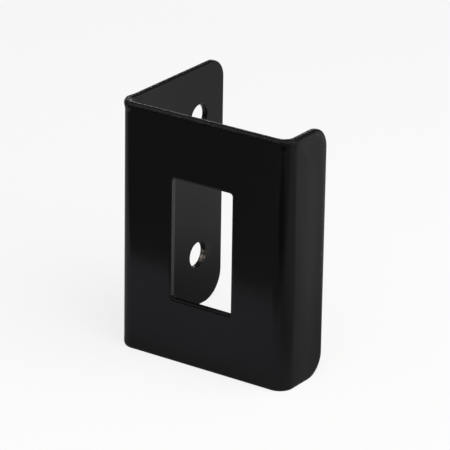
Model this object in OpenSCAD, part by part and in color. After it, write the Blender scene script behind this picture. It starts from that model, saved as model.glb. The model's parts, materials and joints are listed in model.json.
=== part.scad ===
// Rocker switch mounting bracket: one strip of sheet steel, folded twice into
// a channel with a long and a short flange, and coated in gloss black.
// The front panel faces -Y and the bracket stands on its lower edge.

/* [Front panel] */
// Width of the bracket, over both flanges
width = 58.4; // [50:0.1:90]
// Height of the folded strip
height = 76; // [68:1:120]
// Thickness of the sheet with its coat
sheet = 2; // [1.7:0.1:3]
// Outside radius of both bends
bend_r = 4.7; // [4.2:0.1:7]
// Roundness of the coated edges
edge_r = 0.8; // [0.3:0.05:0.8]

/* [Switch opening] */
// Width of the opening that the switch snaps into
opening_w = 21; // [12:0.5:30]
// Height of the opening
opening_h = 37; // [20:0.5:50]
// Corner radius of the opening
opening_r = 1; // [0.5:0.1:3]

/* [Long flange] */
// Depth of the long flange, from the front face
long_depth = 49.5; // [45:0.5:80]
// Radius of its upper rear corner
long_top_r = 6.2; // [2:0.1:9]
// Radius of its lower rear corner
long_low_r = 8.6; // [2:0.1:11]

/* [Short flange] */
// Depth of the short flange, from the front face
short_depth = 19.3; // [17:0.1:45]
// Radius of its two rear corners
short_r = 6.5; // [2:0.1:9]

/* [Mounting holes] */
// Diameter of the two holes in the long flange
hole_d = 7.8; // [4:0.1:9]
// Distance between the centres of the holes
hole_gap = 43.6; // [30:0.1:48]
// Height of the middle of the pair above the middle of the flange
hole_rise = 0.4; // [-3:0.1:3]
// Distance of the holes from the rear edge of the flange
hole_inset = 12.2; // [8:0.1:16]
// Roundness of the rims of the holes
rim_r = 0.4; // [0.1:0.05:0.8]

/* [Hidden] */
// Steps in a full turn of a bend or a corner
$fn = 72;
// Steps in a full turn of an edge's own roundness
EDGE_FN = 24;
// Width of the flat part of the ring that carries a rim's roundness
RIM_FLAT = 0.5;
// How far a cutter runs past each face of the sheet
CUT_PAST = 1;

opening_rim = edge_r + RIM_FLAT;
hole_rim = rim_r + RIM_FLAT;

// Section through the sheet, from a square end at x = 0 to a rounded edge
module edge_section(reach, r) {
    square([reach - r, sheet]);
    translate([0, r]) square([reach, sheet - 2 * r]);
    for (face = [r, sheet - r])
        translate([reach - r, face]) circle(r = r, $fn = EDGE_FN);
}

// The same the other way round, with its rounded edge at x = 0
module rim_section(reach, r) {
    translate([reach, 0]) mirror([1, 0]) edge_section(reach, r);
}

// Section through the whole strip, with its height along y
module strip_section() {
    translate([sheet, height / 2]) rotate(90) edge_section(height / 2, edge_r);
    translate([0, height / 2]) rotate(-90) edge_section(height / 2, edge_r);
}

// Quarter bend that turns the strip from the side of +X to that of +Y
module bend() {
    rotate_extrude(angle = 90) translate([bend_r - sheet, 0]) strip_section();
}

// Upper half of a flange, standing on z = 0, up to its rounded rear corner
module half_flange(depth, corner_r) {
    corner_y = depth - corner_r;
    corner_z = height / 2 - corner_r;
    translate([0, bend_r, 0]) rotate([-90, 0, 0]) rotate([0, 0, -90])
        linear_extrude(corner_y - bend_r) edge_section(height / 2, edge_r);
    translate([sheet, corner_y, 0]) rotate([0, 0, 90])
        linear_extrude(corner_z) edge_section(corner_r, edge_r);
    translate([0, corner_y, corner_z]) rotate([90, 0, 90])
        rotate_extrude(angle = 90) edge_section(corner_r, edge_r);
}

// Whole flange behind a bend, with its outside face on x = 0
module flange(depth, top_r, low_r) {
    translate([0, 0, height / 2]) {
        half_flange(depth, top_r);
        mirror([0, 0, 1]) half_flange(depth, low_r);
    }
}

// Outline of the opening, let out by grow on every side
module opening_outline(grow) {
    r = opening_r + grow;
    w = opening_w + 2 * grow;
    h = opening_h + 2 * grow;
    square([w - 2 * r, h], center = true);
    square([w, h - 2 * r], center = true);
    for (x = [-1, 1], y = [-1, 1])
        translate([x * (w / 2 - r), y * (h / 2 - r)]) circle(r = r);
}

// Rounded rim of the opening: four straight bars and four corners
module opening_rim_ring() {
    for (turn = [0:3]) {
        across = turn % 2 == 0 ? opening_w : opening_h;
        along = turn % 2 == 0 ? opening_h : opening_w;
        rotate([0, 0, 90 * turn]) {
            translate([across / 2, 0, 0]) rotate([90, 0, 0])
                linear_extrude(along - 2 * opening_r, center = true)
                    rim_section(opening_rim, edge_r);
            translate([across / 2 - opening_r, along / 2 - opening_r, 0])
                rotate_extrude(angle = 90) translate([opening_r, 0])
                    rim_section(opening_rim, edge_r);
        }
    }
}

// Flat front panel between the bends, with the opening in its middle
module panel() {
    flat_w = width - 2 * bend_r;
    difference() {
        translate([bend_r, 0, 0]) rotate([90, 0, 90])
            linear_extrude(flat_w) strip_section();
        translate([width / 2, sheet + CUT_PAST, height / 2]) rotate([90, 0, 0])
            linear_extrude(sheet + 2 * CUT_PAST) opening_outline(opening_rim);
    }
    translate([width / 2, sheet, height / 2]) rotate([90, 0, 0]) opening_rim_ring();
}

// Places something at both holes, with its z axis through the flange
module at_holes() {
    for (side = [-1, 1])
        translate([0, long_depth - hole_inset, height / 2 + hole_rise + side * hole_gap / 2])
            rotate([90, 0, 90]) children();
}

// Long flange with its two mounting holes
module long_flange() {
    difference() {
        flange(long_depth, long_top_r, long_low_r);
        at_holes() translate([0, 0, -CUT_PAST])
            cylinder(h = sheet + 2 * CUT_PAST, d = hole_d + 2 * hole_rim);
    }
    at_holes() rotate_extrude() translate([hole_d / 2, 0]) rim_section(hole_rim, rim_r);
}

// The whole folded strip, centred on the footprint that it stands on
module bracket() {
    color([0.07, 0.07, 0.075])
        translate([-width / 2, -long_depth / 2, 0]) {
            panel();
            translate([bend_r, bend_r, 0]) rotate([0, 0, 180]) bend();
            translate([width - bend_r, bend_r, 0]) rotate([0, 0, 270]) bend();
            long_flange();
            translate([width - sheet, 0, 0]) flange(short_depth, short_r, short_r);
        }
}

bracket();
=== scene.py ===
import json
import math

import bpy
from mathutils import Matrix, Vector
from mathutils.geometry import delaunay_2d_cdt


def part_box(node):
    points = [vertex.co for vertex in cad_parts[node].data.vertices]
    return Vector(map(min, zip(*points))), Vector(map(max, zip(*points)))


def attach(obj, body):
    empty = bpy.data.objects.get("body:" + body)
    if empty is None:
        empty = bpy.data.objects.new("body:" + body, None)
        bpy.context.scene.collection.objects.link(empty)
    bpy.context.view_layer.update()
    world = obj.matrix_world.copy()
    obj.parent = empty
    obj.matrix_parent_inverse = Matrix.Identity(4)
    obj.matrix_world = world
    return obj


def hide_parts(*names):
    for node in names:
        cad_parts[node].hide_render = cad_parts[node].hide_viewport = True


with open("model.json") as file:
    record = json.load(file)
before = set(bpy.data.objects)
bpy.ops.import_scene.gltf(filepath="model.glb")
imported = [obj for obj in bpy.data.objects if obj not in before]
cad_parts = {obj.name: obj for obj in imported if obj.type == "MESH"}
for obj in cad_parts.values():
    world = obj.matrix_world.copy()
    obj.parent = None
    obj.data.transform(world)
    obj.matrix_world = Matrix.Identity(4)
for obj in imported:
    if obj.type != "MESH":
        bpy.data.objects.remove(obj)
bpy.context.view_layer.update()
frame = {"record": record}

# A rocker switch mounting bracket of folded sheet steel in gloss black powder coat. The strip is
# drawn flat, as length along the strip and height, and folded round its two bends. Its cut edges
# are rolled over on the outside face and crowned towards the inside.

MM = 0.001

# The folded strip
SHEET = 2.0 * MM
BEND_R = 4.7 * MM
LONG_TOP_R = 6.2 * MM
LONG_LOW_R = 8.6 * MM
SHORT_DEPTH = 19.3 * MM
SHORT_R = 6.5 * MM
OPENING_W = 20.9 * MM
OPENING_H = 37.0 * MM
OPENING_R = 1.0 * MM

# How far short of square the bends end, and the run over which the flanges come square
SETTLE = math.radians(6.0)
SETTLE_RUN = 1.6 * MM

# The coated edges. Each is the reach along the face and the depth into the sheet, for the outside
# and then for the inside. The top edge's own is full on the panel, and there is less of it on the
# flanges and along the bottom.
TOP_EDGE = (2.0 * MM, 0.90 * MM, 0.42 * MM, 1.10 * MM)
PLAIN_EDGE = (1.2 * MM, 0.30 * MM, 0.25 * MM, 0.80 * MM)
OPENING_EDGE = (1.1 * MM, 0.28 * MM, 0.30 * MM, 0.50 * MM)
FLANGE_SHARE = 0.5
LOW_SHARE = 0.6
# How far every edge reaches along both faces
EDGE_REACH = 3.2 * MM

# Metal pressed out at the ends of the left and the right bend: its height on top, its reach to
# each side of the bend, the run over which it rises on the face, and its share at the bottom
FLARES = (0.40 * MM, 0.12 * MM)
FLARE_REACH = 2.5 * MM
FLARE_RISE = 0.8 * EDGE_REACH
LOW_FLARE = 0.15

# The rims of the holes, alike on both faces, and the coat's thickness in the holes
HOLE_RIM_R = 0.60 * MM
HOLE_RIM_FLAT = 0.3 * MM
HOLE_COAT = 0.15 * MM

# Share of the edge peel on the edges of the opening and of the holes
CUT_PEEL = 0.42

# Steps of the mesh
BEND_STEPS = 28
CORNER_STEPS = 18
OPENING_CORNER_STEPS = 10
HOLE_STEPS = 72
ROLL_STEPS = 14
FOOT_STEPS = 6
RIM_STEPS = 8
RUN_STEP = 2.5 * MM
# Half the run over which a slope is taken
SLOPE_STEP = 0.05 * MM
# How close an edge point is to the fold line that it ends, and the tolerance of the filling
ON_FOLD_LINE = 0.001 * MM
FILL_TOLERANCE = 0.0001 * MM

# The view of the photograph
VIEW_AZIMUTH = 34.59
VIEW_ELEVATION = 21.90
VIEW_ROLL = 0.887
VIEW_DISTANCE = 968.6 * MM
VIEW_AIM = Vector((2.45, -16.44, 42.66)) * MM
FOCAL_LENGTH = 272.6
SENSOR_WIDTH = 36.0

low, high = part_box("bracket")
WIDTH = high.x - low.x
HEIGHT = high.z - low.z
LONG_DEPTH = high.y - low.y

# Lengths of the strip's flats and bends, along the middle of the sheet
BEND_MID_R = BEND_R - SHEET / 2
BEND_RUN = BEND_MID_R * math.pi / 2
LONG_RUN = LONG_DEPTH - BEND_R
PANEL_RUN = WIDTH - 2 * BEND_R
SHORT_RUN = SHORT_DEPTH - BEND_R

# Where each of them starts, and where the strip ends
LEFT_BEND = LONG_RUN
PANEL = LEFT_BEND + BEND_RUN
RIGHT_BEND = PANEL + PANEL_RUN
SHORT = RIGHT_BEND + BEND_RUN
STRIP = SHORT + SHORT_RUN


def bolt_holes():
    """Places (along the strip, up) and radius of the holes, from the record's bolt pattern."""
    bolts = next(m for m in frame["record"]["mounts"] if m["kind"] == "bolt_pattern")
    _, y, z = bolts["pos_m"]
    half_gap = bolts["dims"]["spacing_y_mm"] * MM / 2
    centres = [(high.y - y, z + side * half_gap) for side in (-1, 1)]
    return centres, bolts["dims"]["hole_r_mm"] * MM


HOLES, HOLE_R = bolt_holes()


def fold(s):
    """Point on the middle of the sheet, the way along it and the way out of it, at s."""
    corner_left = Vector((low.x + BEND_R, low.y + BEND_R, 0))
    corner_right = Vector((high.x - BEND_R, low.y + BEND_R, 0))
    settle = 0.0
    if s < LEFT_BEND:
        angle = -math.pi / 2
        settle = -SETTLE * math.exp((s - LEFT_BEND) / SETTLE_RUN)
        point = Vector((low.x + SHEET / 2, high.y - s, 0))
    elif s < PANEL:
        angle = (s - LEFT_BEND) / BEND_MID_R - math.pi / 2
        settle = SETTLE * angle / (math.pi / 2)
        point = corner_left + BEND_MID_R * Vector((math.sin(angle), -math.cos(angle), 0))
    elif s < RIGHT_BEND:
        angle = 0.0
        point = Vector((low.x + BEND_R + s - PANEL, low.y + SHEET / 2, 0))
    elif s < SHORT:
        angle = (s - RIGHT_BEND) / BEND_MID_R
        settle = SETTLE * angle / (math.pi / 2)
        point = corner_right + BEND_MID_R * Vector((math.sin(angle), -math.cos(angle), 0))
    else:
        angle = math.pi / 2
        settle = SETTLE * math.exp((SHORT - s) / SETTLE_RUN)
        point = Vector((high.x - SHEET / 2, low.y + BEND_R + s - SHORT, 0))
    angle -= settle
    along = Vector((math.cos(angle), math.sin(angle), 0))
    out = Vector((math.sin(angle), -math.cos(angle), 0))
    return point, along, out


def fold_lines():
    """Places along the strip where the bends get a line of vertices."""
    lines = []
    for start in (LEFT_BEND, RIGHT_BEND):
        lines += [start + BEND_RUN * k / BEND_STEPS for k in range(BEND_STEPS + 1)]
    return lines


def spaced(start, end, step=RUN_STEP):
    """Values between start and end, about a step apart, without the two ends."""
    count = max(1, round(abs(end - start) / step))
    return [start + (end - start) * k / count for k in range(1, count)]


def corner(centre, radius, first, steps, facing):
    """Quarter circle of edge points from the angle first.

    An edge point holds its place along the strip and up, and its way out along the strip and up."""
    points = []
    for k in range(steps + 1):
        angle = math.radians(first + 90 * k / steps)
        way = (math.cos(angle), math.sin(angle))
        points.append((centre[0] + radius * way[0], centre[1] + radius * way[1],
                       facing * way[0], facing * way[1]))
    return points


def level_run(start, end):
    """Places along the strip between two corners, with a place on every fold line."""
    flats = spaced(start, LEFT_BEND) + spaced(PANEL, RIGHT_BEND) + spaced(SHORT, end)
    return sorted(flats + fold_lines())


def strip_outline():
    """Edge points round the whole flat strip."""
    right = STRIP - SHORT_R
    low_left = (LONG_LOW_R, LONG_LOW_R)
    top_left = (LONG_TOP_R, HEIGHT - LONG_TOP_R)
    points = corner(low_left, LONG_LOW_R, 180, CORNER_STEPS, 1)
    points += [(s, 0, 0, -1) for s in level_run(LONG_LOW_R, right)]
    points += corner((right, SHORT_R), SHORT_R, 270, CORNER_STEPS, 1)
    points += [(STRIP, z, 1, 0) for z in spaced(SHORT_R, HEIGHT - SHORT_R)]
    points += corner((right, HEIGHT - SHORT_R), SHORT_R, 0, CORNER_STEPS, 1)
    points += [(s, HEIGHT, 0, 1) for s in reversed(level_run(LONG_TOP_R, right))]
    points += corner(top_left, LONG_TOP_R, 90, CORNER_STEPS, 1)
    points += [(0, z, -1, 0) for z in spaced(HEIGHT - LONG_TOP_R, LONG_LOW_R)]
    return points


def opening_outline():
    """Edge points round the switch opening. Their way out points into the opening."""
    middle = (PANEL + RIGHT_BEND) / 2
    half_w, half_h = OPENING_W / 2 - OPENING_R, OPENING_H / 2 - OPENING_R
    left, right = middle - half_w, middle + half_w
    bottom, top = HEIGHT / 2 - half_h, HEIGHT / 2 + half_h
    points = corner((left, bottom), OPENING_R, 180, OPENING_CORNER_STEPS, -1)
    points += [(s, bottom - OPENING_R, 0, 1) for s in spaced(left, right)]
    points += corner((right, bottom), OPENING_R, 270, OPENING_CORNER_STEPS, -1)
    points += [(right + OPENING_R, z, -1, 0) for z in spaced(bottom, top)]
    points += corner((right, top), OPENING_R, 0, OPENING_CORNER_STEPS, -1)
    points += [(s, top + OPENING_R, 0, -1) for s in spaced(right, left)]
    points += corner((left, top), OPENING_R, 90, OPENING_CORNER_STEPS, -1)
    points += [(left - OPENING_R, z, 1, 0) for z in spaced(top, bottom)]
    return points


def hole_outline(centre):
    """Edge points round a mounting hole. Their way out points into the hole."""
    radius = HOLE_R - HOLE_COAT
    points = []
    for k in range(HOLE_STEPS):
        angle = 2 * math.pi * k / HOLE_STEPS
        way = (math.cos(angle), math.sin(angle))
        points.append((centre[0] + radius * way[0], centre[1] + radius * way[1], -way[0], -way[1]))
    return points


def ease(value):
    """Smooth step from 0 to 1, for a value from 0 to 1."""
    value = min(max(value, 0.0), 1.0)
    return value * value * (3 - 2 * value)


def slope(height, place):
    """Slope of a height at a place."""
    rise = height(place + SLOPE_STEP) - height(place - SLOPE_STEP)
    return rise / (2 * SLOPE_STEP)


def flare_share(run):
    """Share of the flare at a run outward from where it begins on the face."""
    return ease(run / FLARE_RISE)


def flare_at(s, way_z):
    """Height of the flare on the outside of the bends, at s: full on top, little below."""
    height = 0.0
    for start, full in zip((LEFT_BEND, RIGHT_BEND), FLARES):
        off = abs(s - start - BEND_RUN / 2) - BEND_RUN / 2
        height = max(height, full * ease(1 - off / FLARE_REACH))
    return height if way_z > 0 else LOW_FLARE * height


def top_share(s, way_z):
    """Share of the top edge's profile: all on the panel's top, none on the upright edges."""
    off_panel = max(PANEL - s, s - RIGHT_BEND) / BEND_RUN
    share = 1 + (FLANGE_SHARE - 1) * ease(off_panel)
    return share * way_z if way_z > 0 else -share * LOW_SHARE * way_z


def edge_profile(roll_reach, roll_depth, inside_reach, inside_depth):
    """Rows across a cut edge, from the outside face to the inside face.

    Each row holds its inset, its height off the middle of the sheet, its normal out of the edge
    and off the sheet, and its share of the flare."""
    foot = EDGE_REACH - roll_reach
    rows = []
    for k in range(FOOT_STEPS):
        run = foot * k / FOOT_STEPS
        rows.append((EDGE_REACH - run, SHEET / 2, 0.0, 1.0, flare_share(run)))
    for k in range(ROLL_STEPS + 1):
        angle = math.pi / 2 * (1 - k / ROLL_STEPS)
        across, off = math.cos(angle), math.sin(angle)
        length = math.hypot(across / roll_reach, off / roll_depth)
        inset = roll_reach * (1 - across)
        rows.append((inset, SHEET / 2 - roll_depth * (1 - off), across / roll_reach / length,
                     off / roll_depth / length, flare_share(EDGE_REACH - inset)))
    return rows + inside_rows(inside_reach, inside_depth, EDGE_REACH)


def inside_rows(reach, depth, last):
    """Rows of a profile from the wall of an edge to the inside face, where it ends at last."""
    rows = []
    for k in range(RIM_STEPS + 1):
        angle = math.pi / 2 * k / RIM_STEPS
        across, off = math.cos(angle), math.sin(angle)
        length = math.hypot(across / reach, off / depth)
        rows.append((reach * (1 - across), depth * (1 - off) - SHEET / 2,
                     across / reach / length, -off / depth / length, 0.0))
    rows.append((last, -SHEET / 2, 0.0, -1.0, 0.0))
    return rows


def rim_profile():
    """The same rows for the rim of a hole, alike on both faces."""
    rows = inside_rows(HOLE_RIM_R, HOLE_RIM_R, HOLE_RIM_R + HOLE_RIM_FLAT)
    outside = [(inset, -off, edgeways, -outward, flare)
               for inset, off, edgeways, outward, flare in reversed(rows)]
    return outside + rows


class Shell:
    """Vertices, faces and exact normals of the folded sheet while it is built."""

    def __init__(self):
        self.points = []
        self.normals = []
        self.nearness = []
        self.faces = []

    def add(self, s, z, off, normal, nearness=0.0):
        """Adds a vertex at a height off the middle of the sheet, and returns its number.

        Its normal is given along the strip, up and out of the sheet."""
        middle, along, out = fold(s)
        self.points.append(middle + out * off + Vector((0, 0, z)))
        turned = along * normal[0] + Vector((0, 0, normal[1])) + out * normal[2]
        self.normals.append(turned.normalized())
        self.nearness.append(nearness)
        return len(self.points) - 1

    def edge(self, outline, profile, on_top=None):
        """Wraps a profile round an outline and returns its first and last rings.

        Where on_top is given, it takes over from the profile on the level edges, and they flare
        at the bends. The coat's edge peel fades out along the face and round the inside crown."""
        peel = CUT_PEEL if on_top is None else 1.0
        reach = profile[0][0]
        rings = []
        for row, top_row in zip(profile, on_top or profile):
            ring = []
            for s, z, way_s, way_z in outline:
                share = top_share(s, way_z)
                inset, off, edgeways, outward, flare = (
                    value + (top - value) * share for value, top in zip(row, top_row))
                along, up = edgeways * way_s, edgeways * way_z
                if on_top is not None:
                    height = flare_at(s, way_z)
                    off += flare * height
                    along -= outward * flare * slope(lambda place: flare_at(place, way_z), s)
                    if outward > 0:
                        up -= outward * height * slope(flare_share, EDGE_REACH - inset) * way_z
                nearness = peel * min(1.0, 1.0 + outward) * (1 - inset / reach)
                ring.append(self.add(s - way_s * inset, z - way_z * inset, off,
                                     (along, up, outward), nearness))
            rings.append(ring)
        for ring, following in zip(rings, rings[1:]):
            for k in range(len(ring)):
                self.faces.append((ring[k - 1], ring[k], following[k], following[k - 1]))
        return rings[0], rings[-1]

    def faces_out(self):
        """The faces, each turned so that it faces the way its vertices' normals do."""
        turned = []
        for face in self.faces:
            a, b, c = (self.points[k] for k in face[:3])
            mean = sum((self.normals[k] for k in face), Vector())
            outward = (b - a).cross(c - b).dot(mean) > 0
            turned.append(face if outward else tuple(reversed(face)))
        return turned


def flat_points(outline, inset):
    """The outline let in by inset, on the flat strip."""
    return [(s - way_s * inset, z - way_z * inset) for s, z, way_s, way_z in outline]


def inside(point, loop):
    """Whether a point of the flat strip is inside a loop of points."""
    x, y = point
    found = False
    for (x0, y0), (x1, y1) in zip(loop, loop[1:] + loop[:1]):
        if (y0 > y) != (y1 > y) and x < x0 + (y - y0) * (x1 - x0) / (y1 - y0):
            found = not found
    return found


def loop_edges(loops):
    """Edges round the loops, as pairs of their points' numbers."""
    edges = []
    start = 0
    for loop in loops:
        count = len(loop)
        edges += [(start + k, start + (k + 1) % count) for k in range(count)]
        start += count
    return edges


def fill_faces(shell, loops, rings):
    """Fills both faces of the sheet between the innermost rings, with an edge at each fold line."""
    border = loops[0]
    edges = loop_edges(loops)
    for s in fold_lines():
        ends = [k for k, point in enumerate(border) if abs(point[0] - s) < ON_FOLD_LINE]
        ends.sort(key=lambda k: border[k][1])
        edges.append((ends[0], ends[-1]))
    points = [Vector(point) for loop in loops for point in loop]
    places, _, triangles, sources, *_ = delaunay_2d_cdt(points, edges, [], 0, FILL_TOLERANCE)
    for side, facing in ((0, 1), (1, -1)):
        numbers = [number for ring in rings for number in ring[side]]
        index = []
        for place, source in zip(places, sources):
            if source:
                index.append(numbers[source[0]])
            else:
                index.append(shell.add(place.x, place.y, facing * SHEET / 2, (0, 0, facing)))
        for triangle in triangles:
            middle = sum((places[k] for k in triangle), Vector((0, 0))) / 3
            if inside(middle, border) and not any(inside(middle, loop) for loop in loops[1:]):
                shell.faces.append(tuple(index[k] for k in triangle))


def make_bracket():
    """The coated bracket as one closed mesh with exact normals."""
    edges = [(strip_outline(), edge_profile(*PLAIN_EDGE), edge_profile(*TOP_EDGE)),
             (opening_outline(), edge_profile(*OPENING_EDGE))]
    edges += [(hole_outline(centre), rim_profile()) for centre in HOLES]
    shell = Shell()
    rings = [shell.edge(*edge) for edge in edges]
    loops = [flat_points(outline, profile[0][0]) for outline, profile, *_ in edges]
    fill_faces(shell, loops, rings)

    mesh = bpy.data.meshes.new("coated_bracket")
    mesh.from_pydata(shell.points, [], shell.faces_out())
    mesh.validate()
    mesh.shade_smooth()
    mesh.normals_split_custom_set_from_vertices(shell.normals)
    near = mesh.attributes.new("near_edge", "FLOAT", "POINT")
    near.data.foreach_set("value", shell.nearness)
    piece = bpy.data.objects.new("coated_bracket", mesh)
    bpy.context.scene.collection.objects.link(piece)
    return piece


# Materials. Scales of noise are in repeats a metre.

COAT_COLOUR = (0.0042, 0.0042, 0.0044, 1)
COAT_IOR = 1.5
COAT_ROUGHNESS = 0.13
ROUGHNESS_SPREAD = 0.03

# The coat's surface: a fine peel, a coarser grain near the edges, and a slow wave
PEEL_SCALE = 700.0
PEEL_DETAIL = 1.0
PEEL_DEPTH = 0.009 * MM
EDGE_PEEL_SCALE = 1500.0
EDGE_PEEL_DEPTH = 0.14 * MM
# Nearness to the edge over which the grain comes in
EDGE_PEEL_RISE = (0.25, 0.80)
WAVE_SCALE = 160.0
WAVE_DETAIL = 3.0
WAVE_DEPTH = 0.02 * MM

# Bare metal on the wall of the lower hole, where a screw has rubbed the coat off: angle of each
# spot on the wall, in degrees up from the rear, and its radius
WORN_SPOTS = ((-4, 0.55 * MM), (-28, 0.75 * MM), (-47, 0.50 * MM))
WORN_X = low.x + SHEET - 0.8 * MM
WORN_BLUR = 0.25 * MM
WORN_SCALE = 2500.0
WORN_DETAIL = 2.0
WORN_RAGGED = 0.6 * MM
# A slight scuff round the first spot
SCUFF_REACH = 4.5 * MM
SCUFF = 0.10
METAL_COLOUR = (0.42, 0.38, 0.31, 1)
METAL_ROUGHNESS = 0.32


class Nodes:
    """Maker of the nodes in the tree of a material or a world.

    Where a method takes a value, it takes another node's output too."""

    def __init__(self, tree, coordinates):
        tree.nodes.clear()
        self.make = tree.nodes.new
        self.link = tree.links.new
        self.where = self.make("ShaderNodeTexCoord").outputs[coordinates]

    def give(self, value, socket):
        """Gives a value to a socket."""
        if isinstance(value, bpy.types.NodeSocket):
            self.link(value, socket)
        else:
            socket.default_value = value

    def shader(self, kind, values):
        """A shader, with values for its named sockets."""
        node = self.make(kind)
        for name, value in values.items():
            self.give(value, node.inputs[name])
        return node.outputs[0]

    def mixed(self, share, first, second):
        """Two shaders mixed, with a share of the second."""
        node = self.make("ShaderNodeMixShader")
        self.give(share, node.inputs["Fac"])
        self.link(first, node.inputs[1])
        self.link(second, node.inputs[2])
        return node.outputs["Shader"]

    def compute(self, operation, first, second=0.0):
        """Result of an operation on one or two values."""
        node = self.make("ShaderNodeMath")
        node.operation = operation
        self.give(first, node.inputs[0])
        self.give(second, node.inputs[1])
        return node.outputs["Value"]

    def mapped(self, value, before, after, smooth=True):
        """A value taken from one pair of ends to another and held there."""
        node = self.make("ShaderNodeMapRange")
        node.interpolation_type = "SMOOTHSTEP" if smooth else "LINEAR"
        node.inputs["From Min"].default_value, node.inputs["From Max"].default_value = before
        node.inputs["To Min"].default_value, node.inputs["To Max"].default_value = after
        self.link(value, node.inputs["Value"])
        return node.outputs["Result"]

    def ramp(self, value, turn, before, after):
        """Colour that passes from before to after while the value crosses the ends of turn."""
        node = self.make("ShaderNodeMix")
        node.data_type = "RGBA"
        self.link(self.mapped(value, turn, (0.0, 1.0)), node.inputs["Factor"])
        for name, colour in (("A", before), ("B", after)):
            self.give(colour, next(s for s in node.inputs if s.name == name and s.type == "RGBA"))
        return next(s for s in node.outputs if s.type == "RGBA")

    def scaled(self, colour, share):
        """A colour times a share."""
        node = self.make("ShaderNodeVectorMath")
        node.operation = "SCALE"
        self.give(colour, node.inputs[0])
        self.link(share, node.inputs["Scale"])
        return node.outputs["Vector"]

    def measure(self, operation, vector):
        """Distance of the place from another, or its length along a way."""
        node = self.make("ShaderNodeVectorMath")
        node.operation = operation
        self.link(self.where, node.inputs[0])
        node.inputs[1].default_value = vector
        return node.outputs["Value"]

    def axis(self, name):
        """One coordinate of the place."""
        node = self.make("ShaderNodeSeparateXYZ")
        self.link(self.where, node.inputs["Vector"])
        return node.outputs[name]

    def attribute(self, name):
        """A value kept on the mesh's vertices."""
        node = self.make("ShaderNodeAttribute")
        node.attribute_name = name
        return node.outputs["Fac"]

    def noise(self, scale, detail):
        """Noise at the place."""
        node = self.make("ShaderNodeTexNoise")
        node.inputs["Scale"].default_value = scale
        node.inputs["Detail"].default_value = detail
        self.link(self.where, node.inputs["Vector"])
        return node.outputs["Fac"]

    def bump(self, height, depth, normal=None):
        """A normal made uneven by a height of 0 to 1."""
        node = self.make("ShaderNodeBump")
        self.link(height, node.inputs["Height"])
        self.give(depth, node.inputs["Distance"])
        if normal is not None:
            self.link(normal, node.inputs["Normal"])
        return node.outputs["Normal"]

    def background_share(self):
        """1 for the rays that see the white background, straight or through glass.

        Glossy rays see the paper and the tent, or the black coat would turn grey all over."""
        path = self.make("ShaderNodeLightPath").outputs
        return self.compute("MAXIMUM", path["Is Camera Ray"], path["Is Transmission Ray"])

    def finish(self, kind, shader):
        """Makes a shader the tree's result."""
        self.link(shader, self.make(kind).inputs["Surface"])


def new_material(name):
    """An empty material and the maker of its nodes."""
    material = bpy.data.materials.new(name)
    material.use_nodes = True
    return material, Nodes(material.node_tree, "Object")


def coat_material():
    """Gloss black powder coat with a fine orange peel, worn to the metal in the lower hole."""
    material, nodes = new_material("black_coat")
    cloud = nodes.noise(WAVE_SCALE, WAVE_DETAIL)
    near_edge = nodes.attribute("near_edge")
    depth = nodes.mapped(near_edge, EDGE_PEEL_RISE, (0.0, EDGE_PEEL_DEPTH), False)
    normal = nodes.bump(nodes.noise(EDGE_PEEL_SCALE, PEEL_DETAIL), depth)
    normal = nodes.bump(nodes.noise(PEEL_SCALE, PEEL_DETAIL), PEEL_DEPTH, normal)
    normal = nodes.bump(cloud, WAVE_DEPTH, normal)
    spread = (COAT_ROUGHNESS - ROUGHNESS_SPREAD, COAT_ROUGHNESS + ROUGHNESS_SPREAD)
    coat = nodes.shader("ShaderNodeBsdfPrincipled", {
        "Base Color": COAT_COLOUR,
        "IOR": COAT_IOR,
        "Roughness": nodes.mapped(cloud, (0.0, 1.0), spread, False),
        "Normal": normal,
    })
    metal = nodes.shader("ShaderNodeBsdfPrincipled", {
        "Base Color": METAL_COLOUR,
        "Metallic": 1.0,
        "Roughness": METAL_ROUGHNESS,
    })
    nodes.finish("ShaderNodeOutputMaterial", nodes.mixed(worn_share(nodes), coat, metal))
    return material


def on_hole_wall(degrees):
    """Place on the lower hole's wall, at an angle up from the rear."""
    angle = math.radians(degrees)
    s, z = HOLES[0]
    return Vector((WORN_X, high.y - s + HOLE_R * math.cos(angle), z + HOLE_R * math.sin(angle)))


def worn_share(nodes):
    """Share of bare metal: ragged spots on the hole's wall, and a slight scuff round them."""
    ends = (-WORN_RAGGED, WORN_RAGGED)
    ragged = nodes.mapped(nodes.noise(WORN_SCALE, WORN_DETAIL), (0.0, 1.0), ends, False)
    first = nodes.measure("DISTANCE", on_hole_wall(WORN_SPOTS[0][0]))
    share = nodes.mapped(first, (0.0, SCUFF_REACH), (SCUFF, 0.0))
    for degrees, radius in WORN_SPOTS:
        away = nodes.compute("ADD", nodes.measure("DISTANCE", on_hole_wall(degrees)), ragged)
        metal = nodes.mapped(away, (radius, radius + WORN_BLUR), (1.0, 0.0))
        share = nodes.compute("MAXIMUM", share, metal)
    return share


# The studio

WHITE = (1.0, 1.0, 1.0, 1)

# The floor as the camera sees it: white, with a share of a lit colour that keeps the shadow
FLOOR_HALF = 3.0
FLOOR_COLOUR = (0.95, 0.95, 0.95, 1)
SHADOW_SHARE = 0.22

# The floor as the coat reflects it: pale paper, which has a cooler tint in front of the bracket,
# and past the paper's soft edge the darker room
PAPER = (0.347, 0.347, 0.354, 1)
PAPER_FRONT = (0.347, 0.347, 0.390, 1)
TINT_TURN = (-45.0 * MM, -10.0 * MM)
ROOM = (0.119, 0.119, 0.120)
PAPER_EDGE_Y = -81.4 * MM
# Half width of that edge, at two places across
PAPER_EDGE_BLUR = (4.0 * MM, 12.0 * MM)
PAPER_EDGE_BLUR_X = (-85.0 * MM, -5.0 * MM)

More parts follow.
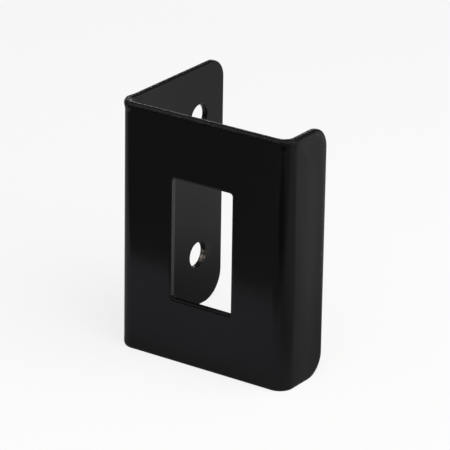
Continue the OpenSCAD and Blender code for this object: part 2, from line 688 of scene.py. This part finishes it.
# Pools of painted light and painted shade in the floor's colour as the coat reflects it: middle,
# inner and outer radius, and share of the colour around. Those of the room are painted shade
# before the camera and at the left. Those of the paper are painted shadows of the bracket in its
# channel and beside the short flange, painted shade at the right and in front, and painted pools
# of light behind and at the left.
ROOM_PAINTED_SHADE = (
    (Vector((82.0, -150.0, 0)) * MM, (30.0 * MM, 68.0 * MM), 0.12),
    (Vector((-120.0, -125.0, 0)) * MM, (20.0 * MM, 100.0 * MM), 0.84),
)
PAPER_PAINTED_LIGHT_AND_SHADE = (
    (Vector((150.0, -40.0, 0)) * MM, (85.0 * MM, 115.0 * MM), 0.66),
    (Vector((-20.0, 18.0, 0)) * MM, (6.0 * MM, 64.0 * MM), 0.58),
    (Vector((42.0, 2.0, 0)) * MM, (4.0 * MM, 70.0 * MM), 0.76),
    (Vector((60.0, -78.0, 0)) * MM, (12.0 * MM, 85.0 * MM), 0.68),
    (Vector((-8.0, -55.0, 0)) * MM, (10.0 * MM, 60.0 * MM), 0.93),
    (Vector((48.0, 108.0, 0)) * MM, (8.0 * MM, 48.0 * MM), 1.22),
    (Vector((125.0, 115.0, 0)) * MM, (20.0 * MM, 80.0 * MM), 1.08),
    (Vector((-45.0, 130.0, 0)) * MM, (30.0 * MM, 90.0 * MM), 2.0),
    (Vector((-90.0, 10.0, 0)) * MM, (30.0 * MM, 80.0 * MM), 1.15),
)
# Bands of painted light and painted shade in the paper's colour, which run back to the right: the
# way across them, and the middle, inner and outer half width, and share of each. The first is
# painted light that the opening's left wall reflects, the second painted shade and the third
# painted light. They begin beside the bracket.
ACROSS_BANDS = Vector((0.824, -0.567, 0))
PAINTED_LIGHT_AND_SHADE_BANDS = (
    (4.7 * MM, (4.0 * MM, 12.0 * MM), 2.3),
    (24.0 * MM, (3.0 * MM, 9.0 * MM), 0.80),
    (38.0 * MM, (3.0 * MM, 11.0 * MM), 1.15),
)
BANDS_TURN = (-20.0 * MM, 10.0 * MM)

# The tent over the floor, by the parts of the way that a reflection looks: bright in front and
# darker high up and at the far left, dark low down in front, and behind the bracket bright at the
# low left and dark elsewhere. Each turn is where one shade passes into the next.
SKY = (0.56, 0.56, 0.57, 1)
HIGH_SKY = (0.16, 0.16, 0.16, 1)
SKY_RISE = (0.50, 0.78)
LEFT_SKY = (0.12, 0.12, 0.12, 1)
LEFT_TURN = (-0.95, -0.60)
DARK_FRONT = (0.03, 0.03, 0.03, 1)
SKY_TILT = Vector((0, 0.6, 1))
SKY_TURN = (-0.50, 0.05)
LOW_LEFT = (1.1, 1.09, 1.05, 1)
LOW_RIGHT = (0.15, 0.15, 0.15, 1)
LOW_TURN = (-0.35, 0.05)
HIGH_BACK = (0.07, 0.07, 0.07, 1)
BACK_RISE = (0.10, 0.26)
BACK_TURN = (0.05, 0.60)

# Square lamps: name, place in metres, watts and colour
LAMP_SIZE = 1.4
LAMPS = (
    ("key_lamp", Vector((0.48, -0.34, 0.76)), 6.9, (1.0, 1.0, 1.0)),
    ("top_lamp", Vector((0.56, 0.00, 0.80)), 6.5, (1.0, 0.98, 0.95)),
)


def painted_patch_share(nodes, patches, distance):
    """Product of the shares of some patches of painted light and painted shade, from the distance
    from the middle of each.
    """
    light = 1.0
    for middle, reach, share in patches:
        patch = nodes.mapped(distance(middle), reach, (share, 1.0))
        light = nodes.compute("MULTIPLY", light, patch)
    return light


def floor_material():
    """White where the camera sees it, and in every reflection pale paper with painted shadows of
    the bracket, painted pools and bands of light and shade, and a darker room with painted shade.
    """
    material, nodes = new_material("studio_floor")
    x, y = nodes.axis("X"), nodes.axis("Y")
    across = nodes.measure("DOT_PRODUCT", ACROSS_BANDS)

    def from_point(place):
        return nodes.measure("DISTANCE", place)

    def from_line(middle):
        return nodes.compute("ABSOLUTE", nodes.compute("SUBTRACT", across, middle))

    tinted = nodes.ramp(y, TINT_TURN, PAPER_FRONT, PAPER)
    pooled = nodes.scaled(tinted, painted_patch_share(nodes, PAPER_PAINTED_LIGHT_AND_SHADE, from_point))
    banded = nodes.scaled(pooled, painted_patch_share(nodes, PAINTED_LIGHT_AND_SHADE_BANDS, from_line))
    sheet = nodes.ramp(y, BANDS_TURN, pooled, banded)
    room = nodes.scaled(ROOM, painted_patch_share(nodes, ROOM_PAINTED_SHADE, from_point))
    blur = nodes.mapped(x, PAPER_EDGE_BLUR_X, PAPER_EDGE_BLUR, False)
    past_edge = nodes.compute("DIVIDE", nodes.compute("SUBTRACT", y, PAPER_EDGE_Y), blur)
    colour = nodes.ramp(past_edge, (-1.0, 1.0), room, sheet)
    paper = nodes.shader("ShaderNodeBsdfDiffuse", {"Color": colour})

    white = nodes.shader("ShaderNodeEmission", {"Color": WHITE, "Strength": 1.0})
    lit = nodes.shader("ShaderNodeBsdfDiffuse", {"Color": FLOOR_COLOUR})
    seen = nodes.mixed(SHADOW_SHARE, white, lit)
    nodes.finish("ShaderNodeOutputMaterial", nodes.mixed(nodes.background_share(), paper, seen))
    return material


def make_floor():
    """The floor that the bracket stands on."""
    corners = [(FLOOR_HALF * x, FLOOR_HALF * y, 0) for x, y in ((-1, -1), (1, -1), (1, 1), (-1, 1))]
    mesh = bpy.data.meshes.new("studio_floor")
    mesh.from_pydata(corners, [], [(0, 1, 2, 3)])
    mesh.materials.append(floor_material())
    floor = bpy.data.objects.new("studio_floor", mesh)
    bpy.context.scene.collection.objects.link(floor)


def make_sky():
    """White to the camera, and in every reflection a tent of soft greys."""
    world = bpy.data.worlds.new("studio")
    world.use_nodes = True
    nodes = Nodes(world.node_tree, "Generated")
    x, y, z = (nodes.axis(name) for name in "XYZ")
    behind = nodes.ramp(z, BACK_RISE, nodes.ramp(x, LOW_TURN, LOW_LEFT, LOW_RIGHT), HIGH_BACK)
    front = nodes.ramp(x, LEFT_TURN, LEFT_SKY, nodes.ramp(z, SKY_RISE, SKY, HIGH_SKY))
    upper = nodes.ramp(y, BACK_TURN, front, behind)
    colour = nodes.ramp(nodes.measure("DOT_PRODUCT", SKY_TILT), SKY_TURN, DARK_FRONT, upper)
    tent = nodes.shader("ShaderNodeBackground", {"Color": colour})
    white = nodes.shader("ShaderNodeBackground", {"Color": WHITE})
    nodes.finish("ShaderNodeOutputWorld", nodes.mixed(nodes.background_share(), tent, white))
    bpy.context.scene.world = world


def make_lamp(name, place, watts, colour):
    """A soft lamp that faces the bracket, and that the gloss doesn't show."""
    lamp = bpy.data.lights.new(name, "AREA")
    lamp.shape = "SQUARE"
    lamp.size = LAMP_SIZE
    lamp.energy = watts
    lamp.color = colour
    holder = bpy.data.objects.new(name, lamp)
    holder.location = place
    middle = (low + high) / 2
    holder.rotation_euler = (middle - place).to_track_quat("-Z", "Y").to_euler()
    holder.visible_glossy = False
    bpy.context.scene.collection.objects.link(holder)


def make_camera():
    """The photograph's camera."""
    azimuth, elevation, roll = map(math.radians, (VIEW_AZIMUTH, VIEW_ELEVATION, VIEW_ROLL))
    back = Vector((math.sin(azimuth) * math.cos(elevation),
                   -math.cos(azimuth) * math.cos(elevation),
                   math.sin(elevation)))
    level = Vector((math.cos(azimuth), math.sin(azimuth), 0))
    rise = back.cross(level)
    right = level * math.cos(roll) + rise * math.sin(roll)
    up = rise * math.cos(roll) - level * math.sin(roll)
    lens = bpy.data.cameras.new("camera")
    lens.lens = FOCAL_LENGTH
    lens.sensor_width = SENSOR_WIDTH
    camera = bpy.data.objects.new("camera", lens)
    turn = Matrix((right, up, back)).transposed().to_4x4()
    camera.matrix_world = Matrix.Translation(VIEW_AIM + back * VIEW_DISTANCE) @ turn
    bpy.context.scene.collection.objects.link(camera)
    bpy.context.scene.camera = camera


def main():
    bracket = make_bracket()
    bracket.data.materials.append(coat_material())
    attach(bracket, "root")
    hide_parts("bracket")
    make_floor()
    make_sky()
    for lamp in LAMPS:
        make_lamp(*lamp)
    make_camera()
    bpy.context.scene.view_settings.view_transform = "Standard"


main()
